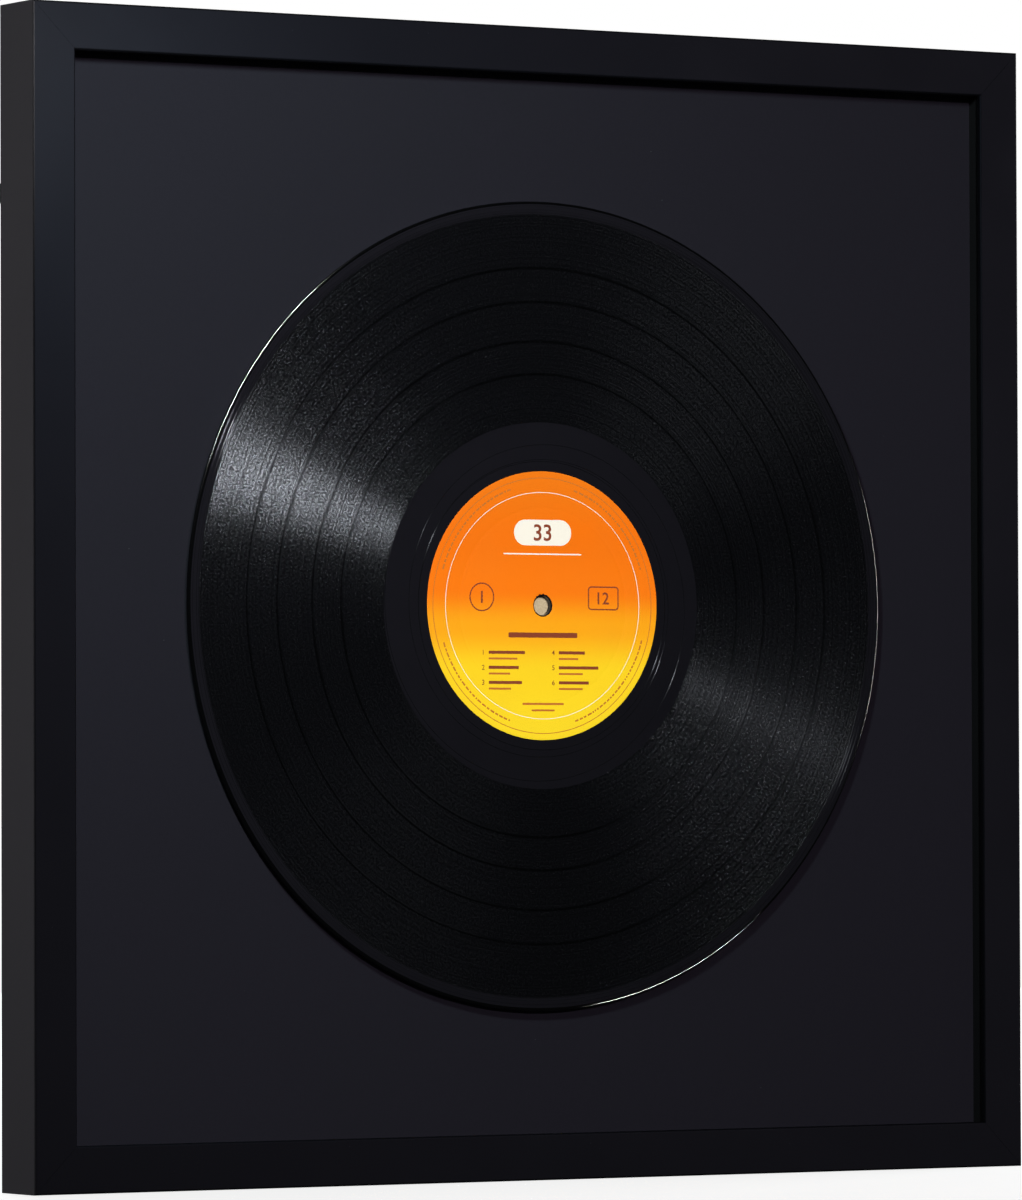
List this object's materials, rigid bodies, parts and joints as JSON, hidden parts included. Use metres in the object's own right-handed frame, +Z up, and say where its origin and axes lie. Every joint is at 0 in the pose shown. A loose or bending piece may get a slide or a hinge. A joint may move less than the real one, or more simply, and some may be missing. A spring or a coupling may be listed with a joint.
{
  "type": "vinyl record frame",
  "caption": "Square black wall frame that shows a long-playing record on a charcoal mount, with a removable back held by turn buttons and D-ring hangers.",
  "frame": {"origin": "middle of the wall plane: the plane in which the wall pads end, at the centre of the frame's width and height", "axes": "+X to the right seen from the front, +Y from the front towards the wall, +Z up"},
  "size_m": [0.429, 0.0298, 0.429],
  "materials": {
    "black_lacquer": "black lacquered wood moulding, satin, square edges eased",
    "clear_sheet": "clear low-reflection acrylic sheet",
    "black_spacer": "black foam plastic strip, matt",
    "charcoal_board": "charcoal mount board with a soft paper face",
    "vinyl": "black pressed record vinyl, grooved, glossy land and rim",
    "label_paper": "orange paper fading to yellow, plain rings, bars and numerals",
    "foam_pad": "beige double-sided foam pad",
    "white_board": "foam board with white paper faces",
    "fibreboard": "brown medium-density fibreboard, smooth",
    "zinc_steel": "zinc plated pressed steel",
    "rubber_pad": "black soft rubber"
  },
  "bodies": {
    "frame": {"top_rail": "black_lacquer", "bottom_rail": "black_lacquer", "left_rail": "black_lacquer", "right_rail": "black_lacquer", "corner_v_nails": "zinc_steel", "glazing_pane": "clear_sheet", "spacer_top": "black_spacer", "spacer_bottom": "black_spacer", "spacer_left": "black_spacer", "spacer_right": "black_spacer", "mount_board": "charcoal_board", "record_spacer_pad": "foam_pad", "record_disc": "vinyl", "record_label_front": "label_paper", "record_label_back": "label_paper", "backing_board": "white_board", "back_panel": "fibreboard", "turn_button_screws": "zinc_steel", "hanger_strap_left": "zinc_steel", "hanger_strap_right": "zinc_steel", "hanger_screws": "zinc_steel", "wall_pads": "rubber_pad"},
    "turn_button_top_right": {"turn_button_top_right": "zinc_steel"},
    "turn_button_top_left": {"turn_button_top_left": "zinc_steel"},
    "turn_button_right_lower": {"turn_button_right_lower": "zinc_steel"},
    "turn_button_right_upper": {"turn_button_right_upper": "zinc_steel"},
    "turn_button_bottom_left": {"turn_button_bottom_left": "zinc_steel"},
    "turn_button_bottom_right": {"turn_button_bottom_right": "zinc_steel"},
    "turn_button_left_upper": {"turn_button_left_upper": "zinc_steel"},
    "turn_button_left_lower": {"turn_button_left_lower": "zinc_steel"},
    "hanger_ring_left": {"hanger_ring_left": "zinc_steel"},
    "hanger_ring_right": {"hanger_ring_right": "zinc_steel"}
  },
  "joints": [
    {"name": "turn_button_top_right_turn", "type": "hinge", "parent": "frame", "child": "turn_button_top_right", "pos_m": [0.095, -0.004, 0.20775], "axis": [0, 1, 0], "range_deg": [-90, 90]},
    {"name": "turn_button_top_left_turn", "type": "hinge", "parent": "frame", "child": "turn_button_top_left", "pos_m": [-0.095, -0.004, 0.20775], "axis": [0, 1, 0], "range_deg": [-90, 90]},
    {"name": "turn_button_right_lower_turn", "type": "hinge", "parent": "frame", "child": "turn_button_right_lower", "pos_m": [0.20775, -0.004, -0.095], "axis": [0, 1, 0], "range_deg": [-90, 90]},
    {"name": "turn_button_right_upper_turn", "type": "hinge", "parent": "frame", "child": "turn_button_right_upper", "pos_m": [0.20775, -0.004, 0.095], "axis": [0, 1, 0], "range_deg": [-90, 90]},
    {"name": "turn_button_bottom_left_turn", "type": "hinge", "parent": "frame", "child": "turn_button_bottom_left", "pos_m": [-0.095, -0.004, -0.20775], "axis": [0, 1, 0], "range_deg": [-90, 90]},
    {"name": "turn_button_bottom_right_turn", "type": "hinge", "parent": "frame", "child": "turn_button_bottom_right", "pos_m": [0.095, -0.004, -0.20775], "axis": [0, 1, 0], "range_deg": [-90, 90]},
    {"name": "turn_button_left_upper_turn", "type": "hinge", "parent": "frame", "child": "turn_button_left_upper", "pos_m": [-0.20775, -0.004, 0.095], "axis": [0, 1, 0], "range_deg": [-90, 90]},
    {"name": "turn_button_left_lower_turn", "type": "hinge", "parent": "frame", "child": "turn_button_left_lower", "pos_m": [-0.20775, -0.004, -0.095], "axis": [0, 1, 0], "range_deg": [-90, 90]},
    {"name": "hanger_ring_left_swing", "type": "hinge", "parent": "frame", "child": "hanger_ring_left", "pos_m": [-0.20775, -0.00233, 0.15], "axis": [1, 0, 0], "range_deg": [0, 175]},
    {"name": "hanger_ring_right_swing", "type": "hinge", "parent": "frame", "child": "hanger_ring_right", "pos_m": [0.20775, -0.00233, 0.15], "axis": [1, 0, 0], "range_deg": [0, 175]}
  ]
}
